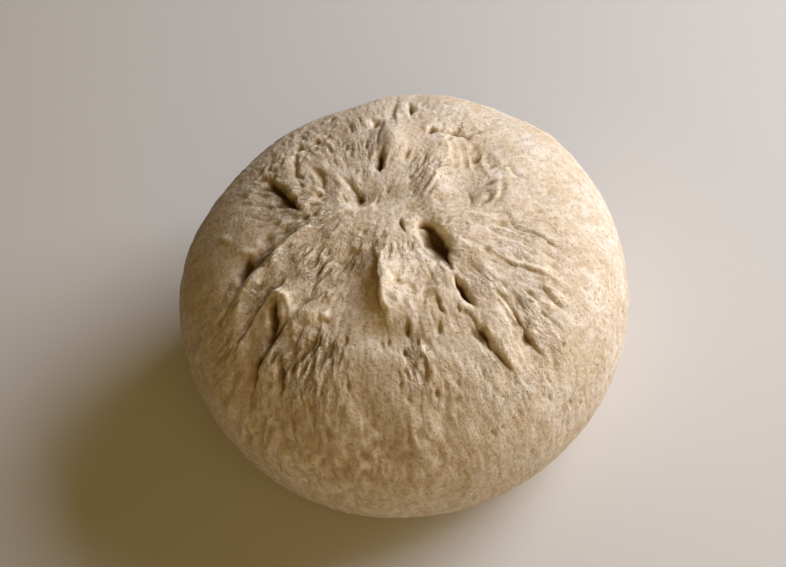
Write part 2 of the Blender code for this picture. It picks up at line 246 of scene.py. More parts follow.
# Folds and tears: the raised, overhanging lip lies on the left of each path; depths and widths in mm
folds = [
    {"path": [(8, -7.5), (12.5, -6.5), (16.4, -10.2), (18, -14.5), (18.2, -18.5), (17, -22.5), (15.5, -28)],
     "deep": 2.8, "wide": 1.1, "lip": 0.9, "lipWide": 4.5, "hollow": 1.5, "reach": 3.6,
     "lean": 1.2, "uneven": 0.3},
    {"path": [(16.4, -26.5), (18.4, -33.0), (20.8, -41)],
     "deep": 6.4, "wide": 0.9, "lip": 0.4, "lipWide": 3.4, "hollow": 0.0, "reach": 3.0,
     "lean": 0.6, "uneven": 0.1},
    {"path": [(17.3, -40.5), (19.2, -45), (21.5, -49.3), (24, -54), (26.3, -58.5), (29, -64)],
     "deep": 2.6, "wide": 0.7, "lip": 0.9, "lipWide": 6.0, "hollow": 0.9, "reach": 3.2, "lean": 0.6},
    {"path": [(-40, 38.5), (-35.5, 36), (-31.8, 30), (-29, 23.5), (-26.5, 17), (-23, 9)],
     "deep": 3.2, "wide": 1.0, "lip": 0.3, "lipWide": 7.0, "hollow": 1.9, "reach": 7.0,
     "lean": 0.3, "uneven": 0.4},
    {"path": [(-20, 8), (-24, 5.8), (-30, 3.5), (-35, 1), (-42, -2.5), (-46.5, -5), (-51.5, -8.5),
              (-61.5, -15.5), (-69, -20)],
     "deep": 0.4, "wide": 1.2, "lip": 0.3, "lipWide": 5.0, "hollow": 1.7, "reach": 7.5, "lean": 0.4},
    {"path": [(-44.5, 4.5), (-47.5, 0.6), (-49.8, -3.2), (-52.5, -8)],
     "deep": 4.4, "wide": 1.2, "lip": 0.0, "lipWide": 2.6, "hollow": 1.0, "reach": 3.5,
     "lean": 0.1, "uneven": 0.2},
    {"path": [(-36.2, -23), (-38.5, -27.5), (-41.5, -29.8), (-47, -33), (-53.5, -38), (-59, -44)],
     "deep": 2.2, "wide": 1.2, "lip": 1.0, "lipWide": 3.6, "hollow": 1.8, "reach": 5.0, "lean": 0.5},
    {"path": [(-32, -9), (-36, -12), (-40.5, -14.5), (-45.5, -18), (-50.5, -21), (-57, -25), (-63, -30)],
     "deep": 1.0, "wide": 0.9, "lip": 0.9, "lipWide": 3.2, "hollow": 1.0, "reach": 4.0, "lean": 0.5},
    {"path": [(-17, -19.5), (-20, -20.4), (-23, -21.3), (-27.5, -23.5), (-33, -24.8), (-37.5, -27)],
     "deep": 0.7, "wide": 1.2, "lip": 0.8, "lipWide": 4.0, "hollow": 0.7, "reach": 4.5, "lean": 0.4},
    {"path": [(-41.3, -34), (-42.8, -38.5), (-44, -43), (-45.8, -47), (-48, -51)],
     "deep": 2.2, "wide": 0.66, "lip": 0.8, "lipWide": 3.1, "hollow": 0.4, "reach": 3.0, "lean": 0.5},
    {"path": [(-19.5, -36.5), (-21, -40), (-23.3, -43), (-25.5, -47.5)],
     "deep": 1.2, "wide": 0.61, "lip": 0.3, "lipWide": 2.8, "hollow": 0.4, "reach": 2.5, "lean": 0.1},
    {"path": [(-3.8, -9), (-5.2, -17), (-5.8, -22), (-6.0, -27), (-7.0, -32), (-7.0, -41)],
     "deep": 0.3, "wide": 0.8, "lip": 1.9, "lipWide": 3.3, "hollow": 0.3, "reach": 6.0,
     "lean": 0.4, "uneven": 0.6},
    {"path": [(-20, -8.5), (-15, -8.5), (-11, -10), (-7, -12.5)],
     "deep": 0.0, "wide": 3.0, "lip": 0.4, "lipWide": 4.0, "hollow": 1.0, "reach": 8.0, "lean": 0.0},
    {"path": [(6.2, 30.5), (5.2, 27.5), (4.3, 23.8), (3.2, 18)],
     "deep": 3.9, "wide": 1.3, "lip": 0.6, "lipWide": 4.0, "hollow": 0.0, "reach": 2.6,
     "lean": 0.3, "uneven": 0.4},
    {"path": [(15.5, 60), (14.5, 54), (12.3, 43)],
     "deep": 0.9, "wide": 1.3, "lip": 0.2, "lipWide": 3.6, "hollow": 0.2, "reach": 2.5,
     "lean": 0.1, "uneven": 0.3},
    {"path": [(19.4, 59), (19.9, 51.5), (18.2, 44)],
     "deep": 2.2, "wide": 0.62, "lip": 0.1, "lipWide": 2.8, "hollow": 0.1, "reach": 2.0,
     "lean": 0.1, "uneven": 0.2},
    {"path": [(41.5, 32.5), (37, 30.6), (33, 30.4), (29.5, 32), (24, 34.5)],
     "deep": 1.8, "wide": 0.8, "lip": 0.1, "lipWide": 3.0, "hollow": 0.9, "reach": 4.2, "lean": 0.1},
    {"path": [(21.8, 34), (24, 35.4), (26.4, 33)],
     "deep": 1.5, "wide": 0.60, "lip": 0.7, "lipWide": 2.5, "hollow": 0.3, "reach": 2.0, "lean": 0.3},
    {"path": [(31, -8), (36, -7.7), (39.5, -8.8), (40.7, -12), (43.5, -15.5), (47.5, -17.5), (51, -20.5),
              (57, -27)],
     "deep": 0.7, "wide": 0.45, "lip": 0.35, "lipWide": 3.4, "hollow": 0.3, "reach": 2.6,
     "lean": 0.2, "uneven": 0.4},
    {"path": [(26, -20), (29.5, -21.5), (33.5, -25), (37, -28), (43, -30.8), (48, -33.5), (53, -38)],
     "deep": 0.15, "wide": 0.6, "lip": 0.55, "lipWide": 2.4, "hollow": 0.35, "reach": 4.0,
     "lean": 0.1, "uneven": 0.4},
    {"path": [(40.5, -32.5), (44, -36.5), (48, -41.5), (52.5, -47)],
     "deep": 0.55, "wide": 0.5, "lip": 0.35, "lipWide": 3.0, "hollow": 0.6, "reach": 4.0,
     "lean": 0.1, "uneven": 0.4},
    {"path": [(31.5, -41), (33.5, -45), (35.7, -50), (38, -56), (41.5, -62.5)],
     "deep": 0.8, "wide": 0.7, "lip": 0.9, "lipWide": 4.5, "hollow": 1.3, "reach": 5.0, "lean": 0.5},
    {"path": [(1.4, -52), (0.9, -56), (-1.3, -61)],
     "deep": 1.6, "wide": 0.60, "lip": 0.3, "lipWide": 2.5, "hollow": 0.3, "reach": 2.0, "lean": 0.1},
    {"path": [(-0.3, -37.5), (-0.9, -41.5), (-1.8, -45)],
     "deep": 1.4, "wide": 0.68, "lip": 0.4, "lipWide": 2.8, "hollow": 0.4, "reach": 2.4, "lean": 0.1},
    {"path": [(9.7, -32), (10, -36), (10.5, -41)],
     "deep": 1.5, "wide": 0.61, "lip": 0.4, "lipWide": 3.1, "hollow": 0.3, "reach": 2.4, "lean": 0.2},
    {"path": [(8.6, -41.5), (8.5, -44), (8.2, -47)],
     "deep": 1.3, "wide": 0.60, "lip": 0.3, "lipWide": 2.8, "hollow": 0.3, "reach": 2.0, "lean": 0.1},
    {"path": [(15.3, -37), (15.4, -39.5), (15.8, -42)],
     "deep": 1.0, "wide": 0.60, "lip": 0.4, "lipWide": 2.8, "hollow": 0.2, "reach": 2.0, "lean": 0.2},
    {"path": [(5.9, -1.5), (5.8, -6.0), (6.8, -11)],
     "deep": 2.2, "wide": 0.5, "lip": 0.8, "lipWide": 2.6, "hollow": 0.2, "reach": 2.0, "lean": 0.5},
]


# Small slits, mostly down the front and in the dish: path, depth and half width
slits = [
    ([(9.3, -8), (12, -6.4), (14.8, -8.4)], 2.2, 0.7),
    ([(-39.8, -15.5), (-40.8, -19.5), (-42, -24), (-44.5, -29)], 4.4, 1.2),
    ([(-26.2, -31.8), (-24, -32)], 1.2, 0.7), ([(-28, -35), (-28.5, -40)], 1.0, 0.6),
    ([(-30.5, -37.5), (-32, -42), (-34.5, -47)], 1.1, 0.65), ([(39, -40), (42, -44), (44, -48)], 0.8, 0.7),
    ([(0.2, -46), (0, -49)], 1.1, 0.8), ([(2.6, -62.3), (3, -65.5)], 1.4, 0.8),
    ([(-4.4, -53.8), (-5.4, -57.3)], 1.0, 0.7), ([(-8, -56.8), (-8.2, -59.3)], 1.0, 0.7),
    ([(-6.4, -62), (-6.6, -64.5)], 0.9, 0.7), ([(-7.4, -43), (-8.8, -45.8)], 0.9, 0.8),
    ([(-23.5, -51.5), (-24, -54.5)], 0.9, 0.7), ([(-49.5, -41), (-51, -44.5)], 1.2, 0.8),
    ([(16.5, -44.5), (19.5, -50), (21.5, -54)], 1.3, 0.8), ([(-36, -11), (-38, -15)], 0.9, 0.8),
    ([(-19, -6), (-20.5, -9)], 0.8, 0.8), ([(-23, 45), (-23.6, 36), (-23.5, 26)], 1.2, 0.9),
    ([(-17.8, 30), (-16.4, 24), (-16.4, 17)], 1.3, 1.3), ([(5, 50), (6, 42)], 0.9, 0.8),
    ([(-5, 37), (-5, 33)], 0.8, 0.7), ([(-10, 23), (-8, 19), (-6.4, 14), (-4.4, 10)], 1.0, 0.8),
    ([(50.5, 2.5), (49, 0), (50, -4)], 0.5, 0.7), ([(63.5, -5.5), (62.5, -8), (63, -10)], 0.5, 0.6),
    ([(50, -12), (54, -13.5), (56.5, -11)], 0.5, 0.8),
    ([(42, 11), (41.5, 5), (38, -1.5), (33, -5.5)], 0.6, 0.6),
    ([(36.5, 3.5), (35, -0.5), (31, -4.2)], 0.7, 0.6), ([(30, 5), (29.8, 1), (28, -3.8)], 0.6, 0.6),
    ([(45.5, 14), (47, 8), (50, 4)], 0.8, 0.7), ([(30, -12), (35, -16), (41, -19)], 0.6, 0.7),
    ([(34, -12), (40, -15), (45, -20)], 0.5, 0.7), ([(45, -22), (51, -26), (56, -31)], 0.7, 0.7),
    ([(48, -28), (54, -34)], 0.6, 0.7), ([(27, -33), (31, -40), (34, -46)], 0.9, 0.8),
    ([(36, -34), (40, -39), (46, -46)], 0.8, 0.7), ([(-58, -40), (-63, -48)], 0.9, 0.8),
    ([(-22, -10), (-27, -20)], 0.6, 0.8), ([(-45, -52), (-48, -60), (-50, -66)], 1.1, 0.8),
    ([(-38, -50), (-40, -58)], 1.0, 0.8),
]
# Small ridges, of which the first two are the flap: path, height and half width
ridges = [
    ([(-41.6, -20), (-40.6, -17.3), (-38.3, -16.2), (-36.2, -18.5), (-35.6, -22),
      (-36.6, -25.5)], 1.6, 1.35),
    ([(-38.4, -19), (-38.3, -22), (-39.3, -25.5)], 0.8, 1.4),
    ([(-16, 7.5), (-23, 4.5), (-28.5, 2), (-34, -1.5), (-40.5, -5), (-46, -8.5), (-51, -12.5),
      (-55, -17), (-60, -24)], 1.8, 2.8),
    ([(-26.8, -29.2), (-25, -30), (-23.4, -29)], 1.6, 0.9),
    ([(-37.2, -33), (-35.5, -34), (-34.3, -33.3)], 1.3, 0.8), ([(-10, 24), (-11, 16), (-12, 8)], 0.8, 2.3),
    ([(-11, 7), (-5.5, 4.6), (-1.5, 8.5)], 0.6, 1.9), ([(-57, 19), (-53, 16.5), (-49.5, 12)], 0.7, 1.1),
    ([(15, 55), (14, 48), (13, 40)], 0.9, 1.6), ([(-13, 44), (-11.5, 41), (-10, 38)], 0.8, 1.2),
    ([(-49, 7), (-45.5, 4.5), (-42, 4)], 0.7, 1.2),
    ([(-2.4, -12), (-3.6, -18), (-4.0, -25), (-5, -31), (-5, -37)], 0.9, 1.5),
    ([(-31, -40), (-33, -47), (-34, -52)], 0.4, 0.7), ([(-36, -36), (-38, -44), (-38.5, -50)], 0.4, 0.7),
    ([(-26, -44), (-27.5, -50), (-28, -56)], 0.3, 0.7), ([(24, -4), (32, -9), (38, -13)], 0.5, 1.2),
    ([(24, -19), (27, -27), (27.3, -36), (28, -43.5), (31, -54)], 0.9, 3.0),
    ([(38, -26), (46, -31), (55, -40)], 0.3, 1.0), ([(26.5, 30), (27.5, 24), (26.5, 16)], 0.4, 0.9),
    ([(30.6, 30), (30.4, 24), (29.5, 18), (26.8, 9)], 0.45, 0.6),
    ([(33.2, 28), (34.2, 23), (32.5, 15), (33, 8)], 0.7, 0.6),
    ([(36.5, 29), (38.6, 22), (36.6, 14), (38, 7)], 0.6, 0.8),
    ([(38, 28), (40, 22), (43.5, 12), (44, 5)], 0.4, 1.0), ([(33.5, 4), (32.5, 0), (30, -3.5)], 0.4, 0.8),
    ([(39.5, 5), (37.5, 0), (34, -3.5)], 0.4, 0.8),
]
# Pits: place, radius and depth
pits = [
    (-7, -4.3, 0.9, 1.0), (35, 28.8, 1.0, 1.2), (-5.4, 11.2, 1.7, 1.0), (23.3, 34, 1.1, 1.4),
    (39.3, 31.5, 1.1, 1.0), (29.2, -21.0, 1.0, 1.1), (41, -73, 0.7, 1.4), (38.5, -71.5, 0.55, 0.9),
    (17.5, -80, 0.6, 0.9), (21.5, -79, 0.55, 0.8), (30, -70, 0.6, 0.9), (47.5, -55.5, 0.65, 1.5),
    (39, -38, 0.9, 0.9), (-24.5, 8.5, 1.4, 1.4), (-21, 9, 1.1, 1.1), (-21.8, 45.5, 1.4, 2.3),
    (-15, 45, 1.1, 2.0), (-8.5, 59.5, 1.2, 2.0), (6.5, 45, 1.3, 1.7), (-18, 16.5, 1.0, 1.0),
    (-17.4, 13.8, 0.9, 0.8), (9.5, -62, 0.7, 1.1), (2.5, -63, 0.65, 1.2), (8, -67, 1.4, 0.6),
    (-4.2, -49, 0.8, 1.5), (-2.2, -53.5, 0.8, 1.3), (-5.6, -54.5, 0.7, 1.2), (31.5, -47.5, 1.0, 0.9),
    (31, -50, 0.9, 0.8), (24, 54, 1.0, 0.9), (12, 13.5, 0.9, 0.8), (2.7, -29, 2.2, 0.8),
    (6.7, -32, 2.0, 0.7), (43, -62, 2.0, 0.6), (43.5, 12.5, 0.8, 0.7), (55, -1, 0.7, 0.5),
    (53.5, -2, 0.7, 0.5), (54, 27.5, 0.8, 0.6), (47.5, 19.8, 0.7, 0.6), (45.5, 37.5, 0.8, 0.6),
]


# How folds and lines run out at their ends, and how sharp they are
foldForm = {
    "endShare": 0.4,        # share of the length over which each end fades
    "endWidth": 0.4,        # width left at the very end
    "uneven": 0.8,          # how much a fold grows and shrinks on its way, where the fold says nothing
    "least": 0.15,
    "most": 1.6,
    "edgeWidth": 1.2,
    "grooveSharp": 1.4,
    "lipSharp": 1.5,
    "lipFall": 2.2,
    "lineEndLift": 0.15,
    "lineEndWidth": 0.55,
    "lineSharp": 1.5,
}


def nearPath(path, margin, u, v):
    # the places within the path's own box, widened by the margin
    points = np.array(path, float)
    low, high = points.min(0) - margin, points.max(0) + margin
    return (u > low[0]) & (u < high[0]) & (v > low[1]) & (v < high[1])


def endFade(share):
    # 0 at both ends of a path, 1 between
    end = foldForm["endShare"]
    return softStep(share / end) * softStep((1 - share) / end)


def addFold(fold, u, v, uneven, height, slideU, slideV):
    # groove −deep · exp(−(|t|/wide)^1.4); a lip on the left that rises at the path and falls off as
    # exp(−(t/lipWide)^1.5/2.2); a hollow on the right, −hollow · exp(−(t/reach)²); lean slides the lip's
    # edge over the groove. All of it grows thinner and fades to nothing at the path's ends.
    f = foldForm
    near = nearPath(fold["path"], 3 * max(fold["reach"], fold["lipWide"]), u, v)
    t, share, leftU, leftV = nearestOn(fold["path"], u[near], v[near])
    fade = endFade(share)
    wide = fold["wide"] * (f["endWidth"] + (1 - f["endWidth"]) * fade)
    fade = fade * np.clip(1 + fold.get("uneven", f["uneven"]) * uneven[near], f["least"], f["most"])
    step = softStep(0.5 + t / (f["edgeWidth"] * wide))
    groove = -fold["deep"] * np.exp(-((np.abs(t) / wide) ** f["grooveSharp"]))
    past = np.maximum(t, 0) / fold["lipWide"]
    lip = fold["lip"] * step * np.exp(-(past ** f["lipSharp"]) / f["lipFall"])
    hollow = -fold["hollow"] * np.exp(-((t / fold["reach"]) ** 2)) * (1 - step)
    slide = -fold["lean"] * fade * step * np.exp(-((t / fold["lipWide"]) ** 2))
    height[near] += fade * (groove + lip + hollow)
    slideU[near] += slide * leftU
    slideV[near] += slide * leftV


def addLine(path, lift, wide, u, v, height):
    # a plain groove or ridge, lift · exp(−(|t|/wide)^1.5), thin and low at its ends
    f = foldForm
    near = nearPath(path, 5 * wide, u, v)
    t, share, _, _ = nearestOn(path, u[near], v[near])
    fade = endFade(share)
    low = f["lineEndLift"] + (1 - f["lineEndLift"]) * fade
    thin = wide * (f["lineEndWidth"] + (1 - f["lineEndWidth"]) * fade)
    height[near] += lift * low * np.exp(-((np.abs(t) / thin) ** f["lineSharp"]))


# The fine relief of the torn and stretched skin; zones are rows like the swells, with a strength as the
# height
skinRelief = {
    "seamHalf": 13.0,             # half length and direction of the short seam that the strands run out from
    "seamTurn": -32.0,
    "bearingWander": [(15.0, 0.9), (5.0, 0.3)],     # sizes and strengths of the noise that bends the strands
    "bearingShare": 0.35,
    "bearingSoft": 8.0,
    "pathWander": [(6.0, 0.9), (2.2, 0.5)],         # and of the noise that bends the folds' and lines' paths
    "pathShare": 0.7,
    "unevenSize": 3.5,            # length over which a fold grows and shrinks
    "counts": [14, 22, 35, 56, 90, 144, 230, 368],  # strands round the seam, one noise for each
    "countBlend": 0.09,
    "countLeast": 0.02,
    "leastScale": 1.5,
    "countShift": 0.37,
    "slotFrom": 0.52,             # how low the noise is where a slot opens, and how much higher in torn skin
    "slotTorn": 0.34,
    "slotSoft": 0.30,
    "plainSwell": 0.25,           # share of a swell's height in skin that isn't torn
    "layers": [                   # pitch across and length along, height of the swell, depth of the slots
        {"pitch": 8.0, "length": 34.0, "height": 0.45, "slot": 0.0},
        {"pitch": 4.2, "length": 14.0, "height": 0.15, "slot": 0.04},
        {"pitch": 2.1, "length": 8.0, "height": 0.17, "slot": 0.24},
        {"pitch": 1.15, "length": 5.0, "height": 0.22, "slot": 0.60},
    ],
    "dimpleLayers": [
        {"pitch": 6.0, "length": 6.4, "height": 0.56, "slot": 0.0},
        {"pitch": 3.2, "length": 3.5, "height": 0.50, "slot": 0.13},
        {"pitch": 1.8, "length": 2.2, "height": 0.30, "slot": 0.22},
    ],
    "dimpleBase": 0.34,           # dimples of the smooth skin, which grow with the way from the crown
    "dimpleFrom": 40.0,
    "dimpleOver": 40.0,
    "dimpleTop": 0.4,
    "dimpleZones": [
        (-26, -80, 36, 20, 0, 0.6), (-60, -52, 18, 30, 30, 0.55),
    ],
    "tornBase": 0.12,
    "tornMost": 1.1,
    "patchSize": 8.0,             # strands come in patches of about this size
    "patchStrength": 1.1,
    "patchRange": (0.15, 1.7),
    "strandClear": 11.0,          # way from the seam over which strands, and dimples, fade in
    "dimpleClear": 14.0,
    "floorClear": 8.0,
    "strandZones": [
        (-36, -40, 11.5, 18, -30, 1.05), (-1, -54, 5.5, 9, 0, 0.75), (-14, -50, 7, 11, 0, -0.6),
        (34, -42, 10, 20, 32, 0.5), (44, -22, 10, 14, 55, 0.4), (27, -62, 9, 16, 25, 0.3),
        (-40, -10, 9, 26, -55, 0.7), (20, -28, 10, 14, 20, 0.10), (20, 14, 7, 18, -30, 0.3),
        (0, -6, 18, 18, 0, 0.35), (-34, 28, 10, 16, 30, 0.7), (-26, -10, 9, 8, 0, 0.6),
        (-31, -28, 8, 4.5, 0, -1.0), (9, 32, 5, 9, 0, -0.5), (0, 34, 16, 18, 0, 0.5),
    ],
    "crumpleZones": [
        (-16, 48, 17, 13, 10, 1.0), (-36, 40, 8, 10, 0, 0.6), (20, 48, 10, 7, 0, 0.5),
        (-22, 14, 6, 6, 0, 0.7), (4, -28, 8, 8, 0, 0.6), (-4, -8, 9, 9, 0, 0.3), (-32, -30, 8, 6, 0, 0.7),
        (-34, -44, 9, 12, -30, 0.5), (33, 20, 7, 8, 0, 0.7), (9, 32, 5, 8, 0, -0.5), (31, 34, 9, 4, 0, 1.0),
        (0, -52, 7, 9, 0, 0.6), (35, -44, 5, 11, 32, 0.45), (42, -33, 7, 6, 0, 0.5),
        (19, -12, 6, 9, 0, 0.4), (2, -14, 24, 22, 0, 0.38),
    ],
    "crumpleHeight": 0.75,
    "wrinkleSize": 4.0,
    "wrinkleSharp": 2.6,
    "wrinkleMiddle": 0.6,
    "lumpHeight": 0.6,
    "lumpSize": 17.0,
    "poreCount": 300,
    "poreReach": 104.0,
    "poreSizes": (2.0, 0.12, 0.28),   # shape and scale of the spread, and the least radius
    "poreForm": (1.5, 0.8, 0.8),      # length, width and depth for each millimetre of radius
    "pitWidth": 0.85,
}
# The marks for the material: how far each place lies below or above its surroundings after some rounds of
# levelling, which set the painted shade in valleys and the painted highlight on crests
skinMarks = {
    "grooveLimit": 0.9,           # deeper grooves count as this deep, so that their rims don't get the painted highlight
    "rounds": (2, 6, 30),
    "valley": (1.2, 0.6, 0.45),   # weight of each number of rounds, for the painted shade in valleys
    # the same for the painted highlight on crests
    "crestHighlight": (0.0, -0.9, -0.5),
    "calmShare": 0.45,            # the painted shade and the painted highlight are both weaker down the flank
    "calmFrom": 30.0,
    "calmOver": 55.0,
    "broadShare": 0.5,            # share of a broad hollow in the depth of folds, which sets their painted shade
    "depthScale": 4.0,            # mm
}
noiseSeeds = {"pores": 11, "bearing": 41, "patch": 50, "strand": 60, "wrinkle": 70, "lump": 90,
              "dimple": 260, "pathU": 301, "pathV": 303, "uneven": 305}


def zoneStrength(zones, u, v):
    # the zones' swells added up
    return sum(swellHeight(zone, u, v) for zone in zones)


def wander(layers, u, v, seed):
    # one noise for each size, each times its strength, added up
    return sum(strength * noise([u / size, v / size], seed + k) for k, (size, strength) in enumerate(layers))


def flowPlace(u, v):
    # elliptic coordinates about the seam, place = half · cosh(m + i·n): the bearing n in turns, wandering
    # a little, the way out from the seam half · sinh(m), and the arc length for each radian of n there
    r = skinRelief
    turn = np.exp(-1j * math.radians(r["seamTurn"]))
    place = (u + 1j * v) * turn
    both = np.arccosh(place / r["seamHalf"] + 1e-9j)
    scale = r["seamHalf"] * np.abs(np.sinh(both))
    sideways = r["bearingShare"] * wander(r["bearingWander"], u, v, noiseSeeds["bearing"])
    bearing = both.imag / (2 * math.pi) + sideways / (scale + r["bearingSoft"])
    return bearing, r["seamHalf"] * np.sinh(both.real), scale


def strands(bearing, distance, scale, layers, torn, seed):
    # for each layer: noise on (bearing · count, distance / length), mixed from the counts whose strands
    # lie near the layer's pitch there; a low swell with it, and separate slots where it is lowest, more of
    # them in torn skin
    r = skinRelief
    total = np.zeros(bearing.shape)
    for number, layer in enumerate(layers):
        mixed = np.zeros(bearing.shape)
        power = np.full(bearing.shape, 1e-6)
        for k, count in enumerate(r["counts"]):
            pitch = 2 * math.pi * np.maximum(scale, r["leastScale"]) / count
            weight = np.exp(-(np.log(pitch / layer["pitch"]) ** 2) / r["countBlend"])
            if weight.max() < r["countLeast"]:
                continue
            along = distance / layer["length"] + r["countShift"] * k
            mixed += weight * noise([bearing * count, along], seed + 20 * number + k, wrap=count)
            power += weight**2
        mixed = mixed / np.sqrt(power)
        slot = softStep((-mixed - r["slotFrom"] + r["slotTorn"] * torn) / r["slotSoft"])
        swell = r["plainSwell"] + (1 - r["plainSwell"]) * torn
        total += layer["height"] * mixed * swell - layer["slot"] * slot * torn
    return total


def pores(u, v):
    # shallow oval pits, longest away from the gather, strewn with a fixed seed, and the single pits of the
    # list
    r = skinRelief
    draw = np.random.default_rng(noiseSeeds["pores"])
    count = r["poreCount"]
    arcs = r["poreReach"] * np.sqrt(draw.uniform(0.0, 1.0, count))
    bearings = draw.uniform(-math.pi, math.pi, count)
    shape, spread, least = r["poreSizes"]
    sizes = draw.gamma(shape, spread, count) + least
    long, short, deep = r["poreForm"]
    found = [(a * math.cos(b), a * math.sin(b), long * size, short * size, b, -deep * size)
             for a, b, size in zip(arcs, bearings, sizes)]
    found += [(pu, pv, size, r["pitWidth"] * size, math.atan2(pv, pu), -depth)
              for pu, pv, size, depth in pits]
    total = np.zeros(u.shape)
    for pu, pv, length, width, bearing, lift in found:
        near = (np.abs(u - pu) < 3 * length) & (np.abs(v - pv) < 3 * length)
        total[near] += swellHeight((pu, pv, length, width, math.degrees(bearing), lift), u[near], v[near])
    return total


def skinPlaces():
    # every vertex's arc length and bearing, ring by ring down to the base, with the quads and the base's
    # outline
    f = ballForm
    arc, _, _ = halfSection()
    topArc, topBearing, index, rim = skinGrid()
    first = topArc[rim[0]]
    flank = first + (f["flankEnd"] - first) * np.linspace(0, 1, f["frontRings"] + 1)[1:]
    belly = np.linspace(f["flankEnd"], arc[-1], f["bellyRings"] + 1)[1:]
    sideArcs = np.concatenate([flank, belly])
    s = np.concatenate([topArc, np.repeat(sideArcs, len(rim))])
    phi = np.concatenate([topBearing, np.tile(topBearing[rim], len(sideArcs))])
    grid = [index[:-1, :-1], index[1:, :-1], index[1:, 1:], index[:-1, 1:]]
    lattice = np.stack(grid, axis=-1).reshape(-1, 4)
    ringStarts = index.size + len(rim) * np.arange(len(sideArcs))
    rings = np.vstack([rim, ringStarts[:, None] + np.arange(len(rim))])
    upper, lower = rings[:-1], rings[1:]
    belt = np.stack([upper, lower, np.roll(lower, -1, axis=1), np.roll(upper, -1, axis=1)], axis=-1)
    return s, phi, np.vstack([lattice, belt.reshape(-1, 4)]), rings[-1][::-1]


def onBall(s, phi):
    # the plain ball's point and outward normal at arc length s and bearing phi
    arc, radius, height = halfSection()
    reach = 0.2     # mm each way for the slope
    out = np.interp(s + reach, arc, radius) - np.interp(s - reach, arc, radius)
    up = np.interp(s + reach, arc, height) - np.interp(s - reach, arc, height)
    length = np.maximum(np.hypot(out, up), 1e-9)
    r, z = np.interp(s, arc, radius), np.interp(s, arc, height)
    point = np.stack([r * np.cos(phi), r * np.sin(phi), z], axis=1)
    normal = np.stack([-up / length * np.cos(phi), -up / length * np.sin(phi), out / length], axis=1)
    return point, normal


def levelled(values, quads, rounds):
    # the values after each vertex has taken the mean of its neighbours round its quads, some rounds over
    corners = quads.ravel()
    count = np.maximum(np.bincount(corners, minlength=len(values)), 1)
    for _ in range(rounds):
        around = 0.5 * (values[np.roll(quads, 1, axis=1)] + values[np.roll(quads, -1, axis=1)])
        values = np.bincount(corners, weights=around.ravel(), minlength=len(values)) / count
    return values


def skinSurface():
    # ball point + normal · height, after the slide along the surface, and the marks that the material reads,
    # among them those for the painted shade and the painted highlight
    s, phi, quads, base = skinPlaces()
    u, v = s * np.cos(phi), s * np.sin(phi)
    plain, _ = onBall(s, phi)
    x, y, z = plain.T
    r, seeds = skinRelief, noiseSeeds
    bentU = u + r["pathShare"] * wander(r["pathWander"], u, v, seeds["pathU"])
    bentV = v + r["pathShare"] * wander(r["pathWander"], u, v, seeds["pathV"])
    broad = sum(swellHeight(swell, u, v) for swell in swells)
    uneven = noise([u / r["unevenSize"], v / r["unevenSize"]], seeds["uneven"])
    deep, slideU, slideV = np.zeros((3, len(u)))
    for fold in folds:
        addFold(fold, bentU, bentV, uneven, deep, slideU, slideV)
    for path, depth, wide in slits:
        addLine(path, -depth, wide, bentU, bentV, deep)
    for path, lift, wide in ridges:
        addLine(path, lift, wide, bentU, bentV, deep)

    bearing, distance, scale = flowPlace(u, v)
    torn = np.clip(r["tornBase"] + zoneStrength(r["strandZones"], u, v), 0, r["tornMost"])
    patchy = 1.0 + r["patchStrength"] * layeredNoise([u, v], r["patchSize"], 2, seeds["patch"])
    torn = torn * np.clip(patchy, *r["patchRange"]) * softStep(distance / r["strandClear"])
    crumple = np.maximum(zoneStrength(r["crumpleZones"], u, v), 0)
    wrinkle = 1 - np.abs(layeredNoise([x, y, z], r["wrinkleSize"], 3, seeds["wrinkle"])) * r["wrinkleSharp"]
    fine = strands(bearing, distance, scale, r["layers"], torn, seeds["strand"])
    fine = fine + crumple * r["crumpleHeight"] * (wrinkle - r["wrinkleMiddle"]) + pores(u, v)
    lump = r["lumpHeight"] * layeredNoise([x, y, z], r["lumpSize"], 2, seeds["lump"])
    below = r["dimpleTop"] + (1 - r["dimpleTop"]) * softStep((s - r["dimpleFrom"]) / r["dimpleOver"])
    dimpled = (r["dimpleBase"] + zoneStrength(r["dimpleZones"], u, v)) * below
    dimple = dimpled * strands(bearing, distance, scale, r["dimpleLayers"], dimpled, seeds["dimple"])
    dimple = softStep(distance / r["dimpleClear"]) * dimple

    fade = softStep((ballForm["reliefEnd"] - s) / ballForm["reliefFade"])
    lift = fade * (broad + deep + fine + lump) + softStep(z / r["floorClear"]) * dimple
    point, normal = onBall(np.hypot(u + slideU, v + slideV), np.arctan2(v + slideV, u + slideU))
    surface = point + normal * lift[:, None]
    surface[:, 2] = np.where(s > s.max() - 1e-6, 0.0, np.maximum(surface[:, 2], 0.0))

    m = skinMarks
    shallow = fade * (broad + np.maximum(deep, -m["grooveLimit"]) + fine + lump) + dimple
    gaps = [levelled(shallow, quads, rounds) - shallow for rounds in m["rounds"]]
    calm = 1 - m["calmShare"] * softStep((s - m["calmFrom"]) / m["calmOver"])
    turn = 2 * math.pi * bearing
    marks = {
        # depth of the folds, which sets the painted shade in them
        "foldDepth": -(deep + fine + m["broadShare"] * np.minimum(broad, 0)) / m["depthScale"],
        # painted shade in valleys: how far each place lies below its levelled surroundings
        "valley": calm * sum(weight * gap for weight, gap in zip(m["valley"], gaps)),
        # painted highlight on crests: how far each place stands above its levelled surroundings
        "crestHighlight": calm * sum(weight * gap for weight, gap in zip(m["crestHighlight"], gaps)),
        "tornSkin": torn,
        "crumpled": crumple,
        "strandFlow": np.stack([np.cos(turn), np.sin(turn), scale], axis=1),
    }
    return surface * mm, quads, base, marks


def fitBox(points, low, high):
    # stretches each axis by the small factor that gives the CAD solid's box
    ownLow, ownHigh = points.min(0), points.max(0)
    scale = (np.array(high) - np.array(low)) / (ownHigh - ownLow)
    print("fit to the CAD box:", np.round(scale, 4))
    return (points - ownLow) * scale + np.array(low)


